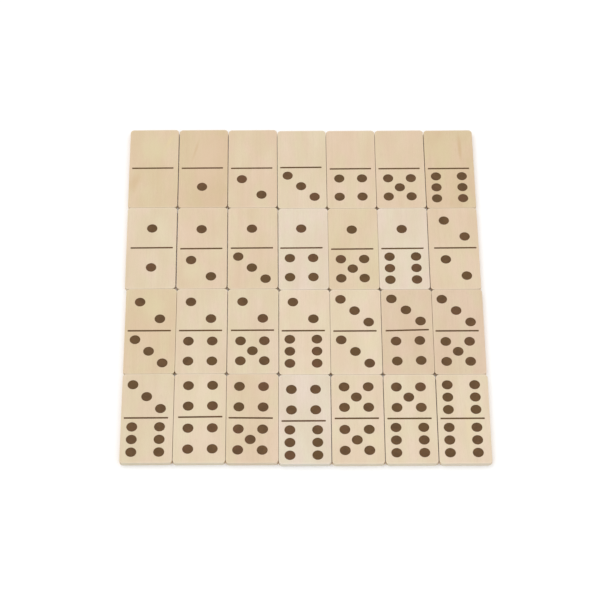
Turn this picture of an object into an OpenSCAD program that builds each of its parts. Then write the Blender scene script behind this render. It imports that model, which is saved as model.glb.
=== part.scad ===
// A double-six domino set: 28 flat wooden tiles laid face up, seven to a row in four rows.
// A tile is a wooden block with shallow recesses cut in its face, and a dark inlay in them.
// Millimetres, +Z up. The underside of every tile lies on z = 0, and the origin is under the
// middle of the laid-out set. The first row is the far one, on the +Y side.

/* [Tile] */
// Width of a tile
tile_w = 24.9; // [23:0.1:30]
// Length of a tile
tile_l = 49.9; // [48:0.1:60]
// Thickness of a tile
tile_t = 2.2; // [1.5:0.1:8]
// Radius of the four upright corners
corner_r = 1.8; // [1:0.1:4]
// Radius that eases the edges of the face and of the underside
edge_r = 0.1; // [0.05:0.05:0.7]

/* [Marks] */
// Diameter of a pip
pip_d = 5.25; // [3:0.05:5.4]
// Distance from the middle of the tile to the centre of a half's pips
half_y = 12; // [11:0.5:14]
// Length of the bar between the halves
bar_l = 21.2; // [10:0.1:22]
// Width of the bar
bar_w = 0.95; // [0.4:0.05:2]
// Depth of the recess under each mark
recess = 0.4; // [0.2:0.1:1]
// Thickness of the dark inlay on the floor of the recess
inlay_t = 0.3; // [0.1:0.05:0.9]
// Clearance between the inlay and the wall of its recess
inlay_gap = 0.02; // [0:0.01:0.1]

/* [Pip spacing] */
// A two: how far each pip sits from the centre of the half, across and along
two = 5; // [4:0.1:6]
// A three: the same for its outer pips
three = 6.8; // [5:0.1:7.5]
// A four and a five: the same for their corner pips
four = 5.8; // [4:0.1:7]
// A six: how far its two columns sit from the middle
six_x = 6.6; // [4:0.1:7]
// A six: distance from one pip to the next in a column
six_y = 7; // [6:0.1:7.5]

/* [Layout] */
// Tiles in a row
columns = 7; // [7]
// Gap between two rows
row_gap = 0.1; // [0.1:0.05:1]

/* [Hidden] */
$fn = 48;
HIGHEST = 6;

// The set in counting order: every pair of halves once, the lower number first.
SET = [for (a = [0 : HIGHEST], b = [a : HIGHEST]) [a, b]];

// The tiles were pushed together by hand, so the rows and columns are a little uneven.
// Gaps between the tiles of each row, from its first tile to its last
gaps = [
    [0.45, 0.35, 0.25, 0.2, 0.2, 0.35],
    [0.55, 0.4, 0.35, 0.1, 0.1, 0.3],
    [0.15, 0.3, 0.3, 0.15, 0.25, 0.15],
    [0.2, 0.2, 0.15, 0.35, 0.35, 0.4]
];
// How far each column is pushed towards +Y
column_slip = [0.4, 0.3, 0.1, -0.5, -0.6, -0.6, -0.7];
// How far each row is pushed towards +X, and how far its tiles are turned, in degrees
row_slip = [0, 0.25, 1.2, 1.25];
row_turn = [0.3, 0.3, 0.1, 0.1];

// The marks aren't quite central. This is where each row's marks sit on their tiles,
marks_off = [[-0.5, 0.2], [-0.45, -0.1], [-0.45, 0.4], [-0.55, 0.05]];
// and these tiles' marks stray further: ends, x, y, and turn in degrees
STRAYS = [
    [[0, 3], 0, 0.9, 0],
    [[0, 4], 0.2, 0, 0],
    [[1, 1], 0.6, 0.1, 0],
    [[1, 2], 0, -0.4, 0],
    [[1, 4], -0.5, 0.5, 0],
    [[1, 5], -0.1, -0.2, 0],
    [[2, 2], 1.2, 0.3, 0],
    [[2, 3], 0, -0.3, 0],
    [[2, 4], 0, -0.2, 0],
    [[2, 5], 0.2, 0, 0],
    [[2, 6], -0.2, 0.2, 0],
    [[3, 4], 0.4, 0.3, 1.4],
    [[3, 5], -0.3, -0.1, 0],
    [[4, 4], 0.8, 0.5, 0.5],
    [[4, 5], -0.2, 0, -0.9],
    [[4, 6], 0, -1.2, 0],
    [[5, 5], 0.1, 0.2, 0]
];

WOOD = [0.89, 0.81, 0.69];
DARK = [0.41, 0.31, 0.21];

function node_name(kind, ends) = str(kind, "_", ends[0], "_", ends[1]);
function sum_to(list, last, i = 0) = i > last ? 0 : list[i] + sum_to(list, last, i + 1);
function column(k) = k % columns;
function row(k) = floor(k / columns);

// Centre of tile k before the whole set is moved over the origin
function rough(k) = [
    column(k) * tile_w + sum_to(gaps[row(k)], column(k) - 1) + row_slip[row(k)],
    column_slip[column(k)] - row(k) * (tile_l + row_gap)
];

// Half the width and length of the box round a turned tile
function reach(across, along, turn) =
    (across / 2 - corner_r) * cos(turn) + (along / 2 - corner_r) * abs(sin(turn)) + corner_r;
function half_box(k) = [
    reach(tile_w, tile_l, row_turn[row(k)]),
    reach(tile_l, tile_w, row_turn[row(k)])
];

// Middle of the box round all the tiles along axis i
function middle(i) = (
    max([for (k = [0 : len(SET) - 1]) rough(k)[i] + half_box(k)[i]]) +
    min([for (k = [0 : len(SET) - 1]) rough(k)[i] - half_box(k)[i]])
) / 2;
MIDDLE = [middle(0), middle(1)];

// Extra shift and turn of a tile's marks
function stray(ends) =
    let (found = [for (s = STRAYS) if (s[0] == ends) s])
    len(found) > 0 ? found[0] : [ends, 0, 0, 0];

// Pip centres on a half that shows n
function corners(d) = [for (x = [-d, d], y = [-d, d]) [x, y]];
function pips(n) =
    n == 1 ? [[0, 0]] :
    n == 2 ? [[-two, two], [two, -two]] :
    n == 3 ? [[-three, three], [0, 0], [three, -three]] :
    n == 4 ? corners(four) :
    n == 5 ? concat(corners(four), [[0, 0]]) :
    n == 6 ? [for (x = [-six_x, six_x], y = [-six_y, 0, six_y]) [x, y]] :
    [];

// Upright section of a tile: a rectangle with eased corners, standing on y = 0
module section(width) {
    for (x = [edge_r - width / 2, width / 2 - edge_r], y = [edge_r, tile_t - edge_r]) {
        translate([x, y]) circle(edge_r);
    }
    translate([-width / 2, edge_r]) square([width, tile_t - 2 * edge_r]);
    translate([edge_r - width / 2, 0]) square([width - 2 * edge_r, tile_t]);
}

// Plain block with round corners and eased edges
module block() {
    rotate([90, 0, 0])
        linear_extrude(tile_l - 2 * corner_r, center = true)
            section(tile_w);
    rotate([90, 0, 90])
        linear_extrude(tile_w - 2 * corner_r, center = true)
            section(tile_l);
    for (x = [-1, 1], y = [-1, 1]) {
        translate([x * (tile_w / 2 - corner_r), y * (tile_l / 2 - corner_r), 0])
            rotate_extrude()
                intersection() {
                    section(2 * corner_r);
                    square([corner_r, tile_t]);
                }
    }
}

// The pips and the bar of one tile, each thick and inset from its outline
module mark_set(ends, thick, inset) {
    for (half = [0, 1], p = pips(ends[half])) {
        translate([p[0], p[1] + half_y * (1 - 2 * half), 0])
            cylinder(h = thick, d = pip_d - 2 * inset);
    }
    translate([inset - bar_l / 2, inset - bar_w / 2, 0])
        cube([bar_l - 2 * inset, bar_w - 2 * inset, thick]);
}

// Puts a tile's own parts where tile k lies
module at_tile(k) {
    translate([rough(k)[0] - MIDDLE[0], rough(k)[1] - MIDDLE[1], 0])
        rotate([0, 0, row_turn[row(k)]])
            children();
}

// Puts marks where they sit on tile k, with their underside on the floor of the recess
module at_marks(k) {
    s = stray(SET[k]);
    off = marks_off[row(k)];
    translate([off[0] + s[1], off[1] + s[2], tile_t - recess])
        rotate([0, 0, s[3]])
            children();
}

module tile(k) {
    color(WOOD)
        at_tile(k)
            difference() {
                block();
                at_marks(k) mark_set(SET[k], 2 * recess, 0);
            }
}

module marks(k) {
    color(DARK)
        at_tile(k)
            at_marks(k)
                mark_set(SET[k], inlay_t, inlay_gap);
}

for (k = [0 : len(SET) - 1]) {
    tile(k);
    marks(k);
}
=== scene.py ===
"""The looks of a double-six set of flat wooden dominoes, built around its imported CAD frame.

Each tile is a piece of its own: a block of pale wood with eased edges and recesses, and its dark
marks, the pips and the bar. Both are rebuilt at a finer finish where the CAD solids lie, and each
tile's wood is cut from its own place in a procedural board. Lengths are in metres, or in
millimetres times MM.
"""

import math
import random

import bmesh
import bpy
import numpy as np
from mathutils import Matrix, Vector
from mathutils.geometry import delaunay_2d_cdt


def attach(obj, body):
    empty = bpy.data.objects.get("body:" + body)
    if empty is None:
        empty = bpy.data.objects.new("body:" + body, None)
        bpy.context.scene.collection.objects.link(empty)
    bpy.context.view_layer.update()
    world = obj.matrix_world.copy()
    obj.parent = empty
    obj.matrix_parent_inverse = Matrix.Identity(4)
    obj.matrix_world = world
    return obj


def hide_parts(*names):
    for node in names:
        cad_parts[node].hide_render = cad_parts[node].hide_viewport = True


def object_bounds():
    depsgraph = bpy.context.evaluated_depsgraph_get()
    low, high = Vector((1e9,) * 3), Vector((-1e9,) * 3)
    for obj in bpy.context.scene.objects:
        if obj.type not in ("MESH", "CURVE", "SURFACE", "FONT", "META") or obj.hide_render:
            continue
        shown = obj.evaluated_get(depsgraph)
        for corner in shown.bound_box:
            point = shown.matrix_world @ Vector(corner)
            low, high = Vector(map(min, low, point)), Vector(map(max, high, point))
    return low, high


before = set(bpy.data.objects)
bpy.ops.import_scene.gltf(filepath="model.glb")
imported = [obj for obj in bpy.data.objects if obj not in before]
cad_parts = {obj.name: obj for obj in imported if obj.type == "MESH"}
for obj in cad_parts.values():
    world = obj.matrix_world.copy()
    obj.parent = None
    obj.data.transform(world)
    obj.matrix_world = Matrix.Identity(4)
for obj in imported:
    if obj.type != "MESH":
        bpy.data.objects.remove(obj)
CAD_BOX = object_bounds()
MM = 0.001

# The tile, as the CAD model has it
CORNER_R = 1.8 * MM
EDGE_R = 0.1 * MM
RECESS = 0.4 * MM

# Finish of the rebuilt pieces
EASE = (0.85, 1.0)           # least and most of the CAD's edge radius that a block has
LIP = 0.07 * MM              # rounding of a recess's rim
LIP_ARC = (0, 30, 60, 90)    # degrees round the rim where it has points
CORNER_STEPS = 10
EDGE_STEPS = 5
PIP_STEPS = 56
BAR_END = 0.3                # corner radius of the bar, as a part of its width
BAR_END_STEPS = 4
FACE_GRID = 1.6 * MM         # spacing of the points inside a tile's face
FACE_MARGIN = 0.5 * MM       # and how clear they stay of an outline
DIP = 0.05 * MM              # how far the face of a mark sinks from its rim to its middle
SHOULDER = 0.3               # part of the dip where the mark meets the wall
# The dip's profile: distance in from the wall, as a part of the half width, and part of the dip
DIP_PROFILE = ((0.02, 0), (0.06, 0.45), (0.14, 0.8), (0.3, 0.95), (0.6, 1))

# Camera: it looks down at the tiles' faces from the near side
LOOK_AT = Vector((-1.64, -6.60, 2.2)) * MM
ELEVATION = math.radians(55.47)
DISTANCE = 1.2161
ROLL = math.radians(-0.27)
LENS = 148.1                 # mm, like the sensor
SENSOR = 36.0
CLIP = (0.01, 20)            # nearest and farthest that it sees

# Light: strength of the tent's sides and top, and the heights between which it fades, and then the
# lamp behind on the left: watts, size, and where it hangs
TENT = 1.26
TENT_TOP = 0.75
TENT_FADE = (0.55, 0.98)
SOFTBOX = 14.0
SOFTBOX_SIZE = 2.4
SOFTBOX_AT = (-1.1, 1.5, 2.4)

# The floor: its side, and the two linear greys of its tooth
FLOOR_SIZE = 16.0
FLOOR_TONES = (0.95, 0.96)

# How light the wood is beside the tones below
WOOD_TONE = 0.905
# Wood tones, sRGB
TONES = {
    "h": (223, 203, 172),    # honey
    "t": (220, 198, 166),    # tan
    "r": (223, 202, 176),    # rosy
    "c": (226, 206, 179),    # cream
    "y": (225, 207, 177),    # yellow
    "g": (227, 210, 184),    # greenish
    "p": (230, 213, 188),    # pale
    "w": (229, 214, 194),    # whitish
    "a": (230, 217, 199),    # ashen
}
# The tone of each tile, in counting order, a row at a time
TONE_ROWS = ["htcgcct", "gccwywc", "hggpprr", "gpcappp"]

# Tints of the wood, as factors on a tile's tone: its patches, its stains, its fibres, and the
# painted highlight on the rim of its face, mostly at its ends; then the tints of its cut faces: the
# ends greyer and cooler, as end grain with painted shade and floor bounce, and the long sides
# darker brown, which is painted shade for the seams and star holes between the tiles
TINTS = {
    "rosy": (1.012, 0.97, 0.99),
    "olive": (0.972, 1.0, 0.935),
    "brown": (0.88, 0.80, 0.70),
    "rose": (1.0, 0.945, 0.965),
    "green": (0.955, 1.0, 0.91),
    "gold": (1.01, 1.0, 0.86),
    "grain": (0.85, 0.81, 0.775),
    "rim_highlight": (1.06, 1.09, 1.16),
}
# Painted shade: ends dimmer and cooler, with painted floor bounce; long sides darker brown
END_GRAIN_AND_BOUNCE_TINT = (0.81, 0.88, 0.93)
SIDE_SHADE_TINT = (0.86, 0.72, 0.54)
RIM_HIGHLIGHT_REACH = 1.0             # mm from a tile's outline where the painted highlight starts
RIM_HIGHLIGHT = 0.4                 # how much of it shows at the outline
RIM_HIGHLIGHT_SIDE = 0.2            # and what part of that is left along the long sides

# A tile's place in the board: mm from its middle, and degrees about X, Y and Z
CUT_REACH = 400
CUT_TURN = (2, 60, 3)
# Waves to a mm of the rosy and olive patches, across, along and through the board
PATCH = (0.12, 0.06, 0.12)
BUMP = 0.02 * MM             # depth of the bumps in the wood, the marks and the floor

# The layers of the grain, each a noise: its waves to a mm across the face, along it and through the
# board, its detail and roughness, its tint, where the tint starts and is full, and how strong it is
GRAIN = {
    "cloud": ((0.09, 0.035, 0.09), 2.0, 0.5, "brown", 0.3, 0.7, 0.4),
    "band": ((0.20, 0.012, 0.50), 3.0, 0.6, "brown", 0.45, 0.75, 0.2),
    "ring": ((0.4, 0.01, 3.2), 2.0, 0.5, "grain", 0.45, 0.75, 0.2),
    "fibre": ((2.4, 0.06, 2.4), 4.0, 0.6, "grain", 0.45, 0.75, 0.2),
    "fine": ((9.0, 0.30, 9.0), 3.0, 0.6, "grain", 0.45, 0.7, 0.45),
    "pore": ((7.0, 0.7, 7.0), 1.0, 0.5, "grain", 0.66, 0.76, 0.8),
}

# The marks' colour, and that of their fibres and grit, sRGB, and the tints they drift between
INK = (96, 70, 43)
INK_FIBRE = (86, 62, 42)
INK_GRIT = (128, 102, 76)
INK_GREENER = (0.94, 1.0, 0.85)
INK_REDDER = (1.14, 1.0, 1.2)

# Figure of its own in some tiles: the stain, its middle, half width and half length in mm,
# its lean in degrees, and how strong it is
FIGURES = {
    "0_0": [("green", 0, 12, 10, 13, 0, 0.9), ("brown", -9.5, -9, 4, 9, -18, 0.8),
            ("gold", 7.5, 17, 1.5, 8, -25, 0.5)],
    "0_1": [("rose", 2, 6, 14, 22, 0, 0.9), ("brown", -4, 12, 1, 9, -14, 0.6),
            ("brown", 11, -14, 2, 6, 0, 0.4)],
    "0_4": [("rose", -2, 14, 8, 9, 0, 0.4), ("brown", 0.5, 13, 1.4, 8, 0, 0.2)],
    "0_5": [("rose", 3, 17, 6, 12, -30, 0.4)],
    "0_6": [("green", -4, 12, 8, 13, 0, 0.8), ("brown", 5.8, 14, 1.3, 11, 2, 0.9),
            ("brown", 0, -22, 1.2, 4, 0, 0.35)],
    "1_1": [("green", 5, 10, 6, 12, 0, 0.5), ("rose", -7, -6, 5, 14, 0, 0.3)],
    "1_2": [("green", -5, -14, 7, 9, 0, 0.8), ("green", 7, -4, 4, 12, 0, 0.4),
            ("rose", -6, 10, 5, 12, 0, 0.3)],
    "1_5": [("brown", 6, -14, 5, 9, 0, 0.15)],
    "1_6": [("green", -2, 0, 12, 24, 0, 0.3)],
    "2_2": [("green", -5, -8, 6, 12, 0, 0.4)],
    "2_3": [("green", 2, 14, 10, 11, 0, 0.9), ("brown", 0, -9, 7, 10, -20, 0.2)],
    "2_5": [("brown", -6, -10, 5, 9, 0, 0.15)],
    "2_6": [("rose", 9, -10, 4, 10, 0, 0.5)],
    "3_3": [("gold", 6, -6, 5, 6, 20, 0.3), ("brown", -4, -14, 7, 8, 0, 0.12)],
    "3_4": [("green", 5, 14, 6, 7, 0, 0.4), ("brown", 4, -8, 3, 12, 0, 0.25)],
    "4_4": [("green", 1, 6, 10, 20, 0, 0.5)],
    "4_5": [("brown", -8, -14, 4, 8, 0, 0.2), ("brown", 9, -10, 3, 8, 0, 0.2)],
    "5_5": [("gold", 8, -14, 5, 8, 0, 0.4), ("brown", -8, -17, 5, 7, 0, 0.2)],
    "6_6": [("green", 7, -4, 5, 16, 0, 0.6), ("gold", 2.5, -4, 2.5, 18, 3, 0.5),
            ("brown", 7, 8, 0.9, 13, 3, 0.4)],
}


def linear(rgb):
    """A linear RGBA colour from 8-bit sRGB."""
    def channel(c):
        c /= 255
        return c / 12.92 if c <= 0.04045 else ((c + 0.055) / 1.055) ** 2.4
    return (*[channel(c) for c in rgb], 1.0)


# ---------------------------------------------------------------- reading the frame

def principal_pose(points):
    """Centre and turn about Z of a symmetric flat shape, its long side taken as Y."""
    flat = np.unique(np.round(points[:, :2], 8), axis=0)
    centre = (flat.min(0) + flat.max(0)) / 2
    spread = np.linalg.eigh(np.cov((flat - centre).T))[1][:, 1]
    spread = spread if spread[1] > 0 else -spread
    return centre, math.atan2(-spread[0], spread[1])


def turned(points, centre, turn):
    """Points in the frame of a shape that lies at centre with that turn."""
    c, s = math.cos(turn), math.sin(turn)
    offset = points[:, :2] - centre
    return np.column_stack([offset @ [c, s], offset @ [-s, c]])


def solids(node):
    """The points of each separate solid in a CAD node."""
    bm = bmesh.new()
    bm.from_mesh(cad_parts[node].data)
    bmesh.ops.remove_doubles(bm, verts=bm.verts, dist=1e-7)
    left, found = set(bm.verts), []
    while left:
        queue, group = [left.pop()], []
        while queue:
            v = queue.pop()
            group.append(v.co[:])
            near = [e.other_vert(v) for e in v.link_edges]
            fresh = [n for n in near if n in left]
            left.difference_update(fresh)
            queue += fresh
        found.append(np.array(group))
    bm.free()
    return sorted(found, key=lambda g: (round(g[:, 1].mean(), 5), g[:, 0].mean()))


class Tile:
    """Where one tile and its marks lie, read from the CAD solids."""

    def __init__(self, ends):
        self.name = f"{ends[0]}_{ends[1]}"
        self.body = f"domino_{self.name}"
        points = solids(f"tile_{self.name}")[0]
        self.thick = points[:, 2].max()
        self.centre, self.turn = principal_pose(points[points[:, 2] < 1e-6])
        local = turned(points, self.centre, self.turn)
        self.width, self.length = np.ptp(local, axis=0)
        self.pips, self.bar, self.inlay_top = [], None, 0.0
        for solid in solids(f"marks_{self.name}"):
            self.inlay_top = solid[:, 2].max()
            local = turned(solid, self.centre, self.turn)
            size = np.ptp(local, axis=0)
            middle = (local.min(0) + local.max(0)) / 2
            if size[0] < 2 * size[1]:
                self.pips.append((middle, size[0] / 2))
            else:
                turn = principal_pose(local)[1] + math.pi / 2
                turn = (turn + math.pi / 2) % math.pi - math.pi / 2
                self.bar = (middle, turn, np.ptp(turned(local, middle, turn), axis=0))

    def place(self, obj):
        """Puts a piece made in the tile's own frame where the tile lies, on its body."""
        spot = Matrix.Translation((*self.centre, 0)) @ Matrix.Rotation(self.turn, 4, "Z")
        obj.matrix_world = spot
        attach(obj, self.body)


# ---------------------------------------------------------------- meshes

def rounded_loop(width, length, radius, steps):
    """Outline of a rectangle with round corners, counter-clockwise, with steps to a corner."""
    points = []
    for corner, (sx, sy) in enumerate([(1, 1), (-1, 1), (-1, -1), (1, -1)]):
        for i in range(steps + 1):
            a = math.pi / 2 * (corner + i / steps)
            points.append((
                sx * (width / 2 - radius) + radius * math.cos(a),
                sy * (length / 2 - radius) + radius * math.sin(a),
            ))
    return np.array(points)


def round_loop(radius):
    """A circle of points, counter-clockwise."""
    a = np.linspace(0, 2 * math.pi, PIP_STEPS, endpoint=False)
    return radius * np.column_stack([np.cos(a), np.sin(a)])


def moved(loop, middle, turn=0.0):
    """A loop turned about its own centre and put at middle."""
    c, s = math.cos(turn), math.sin(turn)
    return loop @ np.array([[c, s], [-s, c]]) + middle


class Shell:
    """Collects a mesh as stacks of loops."""

    def __init__(self):
        self.points, self.faces = [], []

    def loop(self, outline, z):
        start = len(self.points)
        self.points += [(x, y, z) for x, y in outline]
        return list(range(start, len(self.points)))

    def bridge(self, lower, upper):
        n = len(lower)
        for i in range(n):
            j = (i + 1) % n
            self.faces.append((lower[i], lower[j], upper[j], upper[i]))

    def stack(self, outlines):
        """Joins outlines, given as (points, z), one to the next; returns the first and the last."""
        rings = [self.loop(outline, z) for outline, z in outlines]
        for lower, upper in zip(rings, rings[1:]):
            self.bridge(lower, upper)
        return rings[0], rings[-1]

    def cap(self, ring, up=True):
        """Closes a ring with a flat face."""
        self.faces.append(tuple(ring if up else reversed(ring)))

    def object(self, name, sharp=math.radians(40)):
        mesh = bpy.data.meshes.new(name)
        mesh.from_pydata(self.points, [], self.faces)
        mesh.validate()
        obj = bpy.data.objects.new(name, mesh)
        bpy.context.scene.collection.objects.link(obj)
        mesh.shade_smooth()
        mesh.set_sharp_from_angle(angle=sharp)
        normals = obj.modifiers.new("normals", "WEIGHTED_NORMAL")
        normals.keep_sharp = True
        return obj


def face_with_holes(shell, outer, holes, near_hole, z):
    """A flat face between an outer ring and its holes' rings, with a grid of points in it."""
    rings = [outer, *holes]
    flat = [Vector(shell.points[i][:2]) for ring in rings for i in ring]
    owner = [i for ring in rings for i in ring]
    ring_of = [number for number, ring in enumerate(rings) for _ in ring]
    edges, at = [], 0
    for ring in rings:
        n = len(ring)
        edges += [(at + i, at + (i + 1) % n) for i in range(n)]
        at += n
    border = np.array(flat)
    low, high = border.min(0) + FACE_MARGIN, border.max(0) - FACE_MARGIN
    count = np.maximum(np.round((high - low) / FACE_GRID).astype(int), 1)
    for x in np.linspace(low[0], high[0], count[0] + 1):
        for y in np.linspace(low[1], high[1], count[1] + 1):
            spot = np.array([x, y])
            clear = np.hypot(*(border - spot).T).min() > FACE_MARGIN
            if clear and not near_hole(spot):
                flat.append(Vector(spot))
                owner.append(shell.loop([spot], z)[0])
                ring_of.append(0)
    made = delaunay_2d_cdt(flat, edges, [], 0, 1e-9)
    triangles, origin = made[2], made[3]
    for triangle in triangles:
        # A triangle with all its corners on one hole's ring lies in that hole
        source = [origin[i][0] for i in triangle]
        touched = {ring_of[i] for i in source}
        if len(touched) > 1 or 0 in touched:
            shell.faces.append(tuple(owner[i] for i in source))


def block_piece(tile, dice):
    """The wooden block, with eased edges and a recess with a softened rim for each mark."""
    shell = Shell()
    ease = EDGE_R * dice.uniform(*EASE)
    arc = [math.pi / 2 * i / EDGE_STEPS for i in range(EDGE_STEPS + 1)]

    def outline(inset):
        size = (tile.width - 2 * inset, tile.length - 2 * inset)
        return rounded_loop(*size, CORNER_R - inset, CORNER_STEPS)

    lower = [(outline(ease * (1 - math.sin(a))), ease * (1 - math.cos(a))) for a in arc]
    upper = [
        (outline(ease * (1 - math.cos(a))), tile.thick - ease * (1 - math.sin(a)))
        for a in arc
    ]
    bottom, top = shell.stack(lower + upper)
    shell.cap(bottom, up=False)

    def sunk(grown):
        """A recess's rim and walls, from the face down; grown(d) is its outline grown by d."""
        rim = [
            (grown(LIP * (1 - math.sin(a))), tile.thick - LIP * (1 - math.cos(a)))
            for a in map(math.radians, LIP_ARC)
        ]
        first, last = shell.stack([*rim, (grown(0), tile.thick - RECESS)])
        shell.cap(last)
        return first

    holes = [
        sunk(lambda d, m=middle, r=radius: moved(round_loop(r + d), m))
        for middle, radius in tile.pips
    ]
    middle, turn, (bar_l, bar_w) = tile.bar

    def bar(grown):
        size = (bar_l + 2 * grown, bar_w + 2 * grown)
        outline = rounded_loop(*size, BAR_END * bar_w + grown, BAR_END_STEPS)
        return moved(outline, middle, turn)

    holes.append(sunk(bar))

    def near_hole(spot):
        """Whether a spot on the face is in a recess, or too close to one for a point there."""
        room = LIP + FACE_MARGIN
        if any(np.hypot(*(spot - m)) < r + room for m, r in tile.pips):
            return True
        x, y = turned(np.array([spot]), middle, turn)[0]
        return abs(x) < bar_l / 2 + room and abs(y) < bar_w / 2 + room

    face_with_holes(shell, top, holes, near_hole, tile.thick)
    return shell.object(f"block_{tile.name}")


def marks_piece(tile):
    """The dark marks: each fills its recess, with its face drawn up a little at the rim."""
    shell = Shell()
    floor, top = tile.thick - RECESS, tile.inlay_top

    def fill(shrunk, half):
        """shrunk(d) is the mark's outline d inside its rim, and half its half width."""
        rings = [(shrunk(0), floor), (shrunk(0), top - DIP * SHOULDER)]
        rings += [(shrunk(inward * half), top - DIP * depth) for inward, depth in DIP_PROFILE]
        first, last = shell.stack(rings)
        shell.cap(first, up=False)
        shell.cap(last)

    for middle, radius in tile.pips:
        fill(lambda d, m=middle, r=radius: moved(round_loop(r - d), m), radius)
    middle, turn, (bar_l, bar_w) = tile.bar

    def bar(shrunk):
        length, width = bar_l - 2 * shrunk, bar_w - 2 * shrunk
        return moved(rounded_loop(length, width, BAR_END * width, BAR_END_STEPS), middle, turn)

    fill(bar, bar_w / 2)
    return shell.object(f"inlay_{tile.name}")


# ---------------------------------------------------------------- materials

class Nodes:
    """A short way to write a node tree."""

    def __init__(self, name):
        self.material = bpy.data.materials.new(name)
        self.material.use_nodes = True
        self.tree = self.material.node_tree
        self.tree.nodes.clear()

    def add(self, kind, inputs=None, **settings):
        node = self.tree.nodes.new(kind)
        for key, value in settings.items():
            setattr(node, key, value)
        for key, value in (inputs or {}).items():
            self.put(node.inputs[key], value)
        return node

    def put(self, socket, value):
        if isinstance(value, bpy.types.NodeSocket):
            self.tree.links.new(value, socket)
        else:
            socket.default_value = value

    def math(self, operation, a, b=0.0):
        node = self.add("ShaderNodeMath", operation=operation)
        self.put(node.inputs[0], a)
        self.put(node.inputs[1], b)
        return node.outputs[0]

    def vector(self, operation, a, b=None):
        node = self.add("ShaderNodeVectorMath", operation=operation)
        self.put(node.inputs[0], a)
        if b is not None:
            self.put(node.inputs[1], b)
        return node.outputs["Vector"]

    def noise(self, vector, scale, detail=2.0, rough=0.5):
        node = self.add("ShaderNodeTexNoise", {
            "Vector": vector, "Scale": scale, "Detail": detail, "Roughness": rough})
        return node.outputs["Fac"]

    def stretched(self, vector, scale):
        node = self.add("ShaderNodeMapping", {"Vector": vector, "Scale": scale})
        return node.outputs["Vector"]

    def span(self, value, low, high, to_low=0.0, to_high=1.0):
        """Maps low..high to to_low..to_high, smoothly, and holds it there."""
        node = self.add("ShaderNodeMapRange", {
            "Value": value, "From Min": low, "From Max": high,
            "To Min": to_low, "To Max": to_high}, interpolation_type="SMOOTHSTEP")
        return node.outputs["Result"]

    def mix(self, factor, a, b, blend="MIX"):
        node = self.add("ShaderNodeMix", data_type="RGBA", blend_type=blend)
        self.put(node.inputs[0], factor)
        self.put(node.inputs[6], a)
        self.put(node.inputs[7], b)
        return node.outputs[2]

    def finish(self, color, roughness, height, bump, distance, specular=0.3):
        bumped = self.add("ShaderNodeBump", {
            "Height": height, "Strength": bump, "Distance": distance})
        shader = self.add("ShaderNodeBsdfPrincipled", {
            "Base Color": color, "Roughness": roughness, "Normal": bumped.outputs[0],
            "Specular IOR Level": specular})
        out = self.add("ShaderNodeOutputMaterial")
        self.tree.links.new(shader.outputs[0], out.inputs[0])
        return self.material


def tinted(color, *by):
    """A linear colour with its channels made darker or lighter."""
    return (*[min(1.0, c * k) for c, k in zip(color, by)], 1.0)


def shade(rgb, by):
    """A linear colour from sRGB, made darker or lighter by a factor."""
    return (*[min(1.0, c * by) for c in linear(rgb)[:3]], 1.0)


def wood(name, tile, tone, dice):
    """Pale close-grained wood, cut at its own place in the board. The grain runs along Y."""
    n = Nodes(name)
    coord = n.add("ShaderNodeTexCoord")
    in_mm = n.stretched(coord.outputs["Object"], [1 / MM] * 3)
    cut = n.add("ShaderNodeMapping", {
        "Vector": in_mm,
        "Location": [dice.uniform(-CUT_REACH, CUT_REACH) for _ in range(3)],
        "Rotation": [math.radians(dice.uniform(-a, a)) for a in CUT_TURN],
    }).outputs["Vector"]

    base = shade(tone, WOOD_TONE)
    tints = {tint: tinted(base, *by) for tint, by in TINTS.items()}
    patch = n.noise(n.stretched(cut, PATCH), 1.0, 2.0)
    color = n.mix(n.span(patch, 0.36, 0.64), tints["olive"], tints["rosy"])
    layers = {}
    for layer, (waves, detail, rough, tint, start, full, strength) in GRAIN.items():
        layers[layer] = n.noise(n.stretched(cut, waves), 1.0, detail, rough)
        color = n.mix(n.span(layers[layer], start, full, 0.0, strength), color, tints[tint])
    for stain, *figure in FIGURES.get(tile.name, []):
        color = n.mix(figure_mask(n, in_mm, cut, *figure), color, tints[stain])
    # Painted highlight: the face's rim, mostly at its ends, lighter and cooler where the eased edge
    # catches light
    color = n.mix(rim_highlight(n, in_mm, tile), color, tints["rim_highlight"])
    fibre, fine, pore = layers["fibre"], layers["fine"], layers["pore"]

    # The long sides are cut along the grain, and the ends across it, where the pores show more. On
    # the cut faces the long sides are tinted darker brown as painted shade for the seams and star
    # holes, and the ends greyer and cooler, as end grain with painted shade and floor bounce
    facing = n.add("ShaderNodeSeparateXYZ", {
        "Vector": n.vector("ABSOLUTE", coord.outputs["Normal"])}).outputs
    on_end = n.span(facing["Y"], 0.3, 0.95)
    cut_grain_and_shade_tint = n.mix(on_end, (*SIDE_SHADE_TINT, 1), (*END_GRAIN_AND_BOUNCE_TINT, 1))
    cut_face_and_shade = n.mix(1.0, color, cut_grain_and_shade_tint, blend="MULTIPLY")
    open_pores = n.span(n.math("ADD", fine, pore), 0.95, 1.35, 0.0, 0.7)
    cut_face_and_shade = n.mix(n.math("MULTIPLY", on_end, open_pores), cut_face_and_shade, tints["brown"])
    color = n.mix(n.span(facing["Z"], 0.7, 0.25), color, cut_face_and_shade)

    rough = n.span(n.math("ADD", fibre, fine), 0.7, 1.3, 0.55, 0.7)
    height = n.math("ADD", n.math("MULTIPLY", fibre, 0.6), n.math("MULTIPLY", fine, 0.4))
    height = n.math("SUBTRACT", height, n.span(pore, 0.68, 0.76, 0.0, 0.5))
    return n.finish(color, rough, height, 0.35, BUMP)


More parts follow.
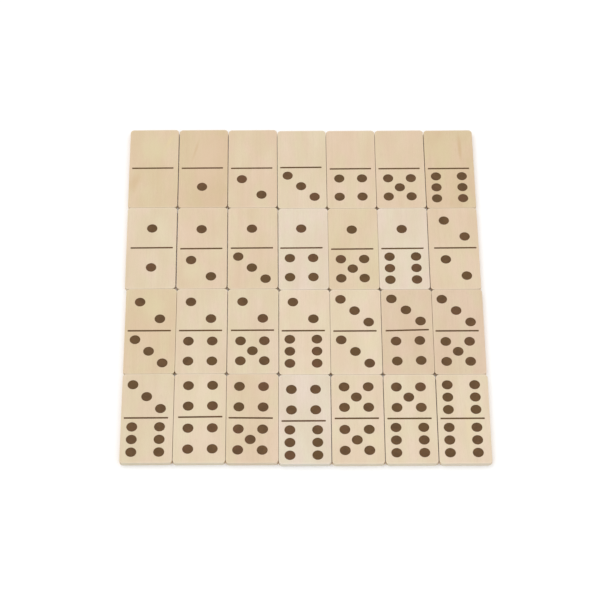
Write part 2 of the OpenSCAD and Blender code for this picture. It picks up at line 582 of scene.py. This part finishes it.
def rim_highlight(n, in_mm, tile):
    """How much the painted highlight lightens the outer rim of a tile's face, mostly at its ends.
    """
    radius = CORNER_R / MM
    straight = (tile.width / 2 / MM - radius, tile.length / 2 / MM - radius, 1e3)
    away = n.vector("SUBTRACT", n.vector("ABSOLUTE", in_mm), straight)
    away = n.vector("MAXIMUM", away, (0, 0, 0))
    reach = n.add("ShaderNodeVectorMath", {0: away}, operation="LENGTH").outputs["Value"]
    rim = n.span(reach, radius - RIM_HIGHLIGHT_REACH, radius - 0.1, 0.0, RIM_HIGHLIGHT)
    along = n.add("ShaderNodeSeparateXYZ", {"Vector": away}).outputs["Y"]
    return n.math("MULTIPLY", rim, n.span(along, 0.0, 1.0, RIM_HIGHLIGHT_SIDE, 1.0))


def figure_mask(n, in_mm, cut, x, y, half_width, half_length, lean, strength):
    """A long soft streak in the wood with a ragged outline."""
    ragged = n.noise(n.stretched(cut, (0.5, 0.15, 0.5)), 1.0, 2.0)
    local = n.add("ShaderNodeMapping", {
        "Vector": in_mm, "Location": (x, y, 0), "Rotation": (0, 0, math.radians(lean)),
        "Scale": (half_width, half_length, 1e3)}, vector_type="TEXTURE").outputs["Vector"]
    spread = n.add("ShaderNodeVectorMath", {0: local}, operation="LENGTH").outputs["Value"]
    spread = n.math("ADD", spread, n.math("MULTIPLY", ragged, 0.8))
    return n.span(spread, 1.5, 0.4, 0.0, strength)


def ink(name, dice):
    """Dark brown, flat and matt, now redder, now greener, with the wood's fibres in it."""
    n = Nodes(name)
    place = n.add("ShaderNodeTexCoord").outputs["Object"]
    cut = n.add("ShaderNodeMapping", {
        "Vector": place, "Scale": [1 / MM] * 3,
        "Location": [dice.uniform(-CUT_REACH, CUT_REACH) for _ in range(3)],
    }).outputs["Vector"]
    fibre = n.noise(n.stretched(cut, (3.0, 0.25, 3.0)), 1.0, 4.0, 0.6)
    grit = n.noise(cut, 5.0, 4.0, 0.65)
    cloud = n.noise(cut, 0.35, 2.0)
    drift = n.noise(cut, 0.06, 1.0)
    color = n.mix(n.span(cloud, 0.3, 0.7), shade(INK, 0.86), shade(INK, 1.12))
    greener, redder = [tinted(linear(INK), *by) for by in (INK_GREENER, INK_REDDER)]
    color = n.mix(n.span(drift, 0.3, 0.5, 0.7, 0.0), color, greener)
    color = n.mix(n.span(drift, 0.5, 0.7, 0.0, 0.7), color, redder)
    color = n.mix(n.span(fibre, 0.45, 0.75, 0.0, 0.35), color, linear(INK_FIBRE))
    color = n.mix(n.span(grit, 0.55, 0.75, 0.0, 0.25), color, linear(INK_GRIT))
    rough = n.span(grit, 0.3, 0.7, 0.62, 0.8)
    height = n.math("ADD", n.math("MULTIPLY", fibre, 0.5), n.math("MULTIPLY", grit, 0.5))
    return n.finish(color, rough, height, 0.4, BUMP, specular=0.2)


def floor_paper(name):
    """A plain white sweep with the faintest tooth."""
    n = Nodes(name)
    place = n.add("ShaderNodeTexCoord").outputs["Object"]
    tooth = n.noise(place, 400.0, 2.0)
    color = n.mix(tooth, *[(tone, tone, tone, 1) for tone in FLOOR_TONES])
    return n.finish(color, 0.9, tooth, 0.05, BUMP)


# ---------------------------------------------------------------- the set

def make_camera():
    data = bpy.data.cameras.new("camera")
    data.lens, data.sensor_width = LENS, SENSOR
    data.clip_start, data.clip_end = CLIP
    camera = bpy.data.objects.new("camera", data)
    bpy.context.scene.collection.objects.link(camera)
    back = Vector((0, -math.cos(ELEVATION), math.sin(ELEVATION)))
    aim = (-back).to_track_quat("-Z", "Y").to_matrix().to_4x4()
    spot = Matrix.Translation(LOOK_AT + back * DISTANCE)
    camera.matrix_world = spot @ aim @ Matrix.Rotation(ROLL, 4, "Z")
    bpy.context.scene.camera = camera


def make_light():
    scene = bpy.context.scene
    scene.view_settings.view_transform = "Standard"
    world = bpy.data.worlds.new("studio")
    world.use_nodes = True
    tree = world.node_tree
    # A white tent, dimmer overhead than round the sides
    sky = tree.nodes.new("ShaderNodeTexCoord")
    split = tree.nodes.new("ShaderNodeSeparateXYZ")
    fade = tree.nodes.new("ShaderNodeMapRange")
    fade.interpolation_type = "SMOOTHSTEP"
    spans = zip(("From Min", "From Max", "To Min", "To Max"), (*TENT_FADE, TENT, TENT_TOP))
    for name, value in spans:
        fade.inputs[name].default_value = value
    tree.links.new(sky.outputs["Generated"], split.inputs[0])
    tree.links.new(split.outputs["Z"], fade.inputs["Value"])
    tree.links.new(fade.outputs["Result"], tree.nodes["Background"].inputs["Strength"])
    tree.nodes["Background"].inputs["Color"].default_value = (1, 1, 1, 1)
    scene.world = world
    lamp = bpy.data.lights.new("softbox", "AREA")
    lamp.shape, lamp.size, lamp.size_y = "RECTANGLE", SOFTBOX_SIZE, SOFTBOX_SIZE
    lamp.energy = SOFTBOX
    softbox = bpy.data.objects.new("softbox", lamp)
    scene.collection.objects.link(softbox)
    softbox.location = SOFTBOX_AT
    softbox.rotation_mode = "QUATERNION"
    softbox.rotation_quaternion = (-softbox.location).to_track_quat("-Z", "Y")


def make_floor():
    mesh = bpy.data.meshes.new("floor")
    half = FLOOR_SIZE / 2
    corners = [(-half, -half, 0), (half, -half, 0), (half, half, 0), (-half, half, 0)]
    mesh.from_pydata(corners, [], [(0, 1, 2, 3)])
    floor = bpy.data.objects.new("floor", mesh)
    bpy.context.scene.collection.objects.link(floor)
    floor.location.z = CAD_BOX[0].z
    mesh.materials.append(floor_paper("floor"))


def make_tile(ends, tone):
    tile = Tile(ends)
    dice = random.Random(tile.name)
    block = block_piece(tile, dice)
    block.data.materials.append(wood(f"wood_{tile.name}", tile, tone, dice))
    inlay = marks_piece(tile)
    inlay.data.materials.append(ink(f"ink_{tile.name}", dice))
    for piece, node, slot in ((block, "tile", "tile_wood"), (inlay, "marks", "mark_inlay")):
        tile.place(piece)
        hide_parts(f"{node}_{tile.name}")


make_camera()
make_light()
make_floor()
counting = [(a, b) for a in range(7) for b in range(a, 7)]
for ends, tone in zip(counting, "".join(TONE_ROWS)):
    make_tile(ends, TONES[tone])
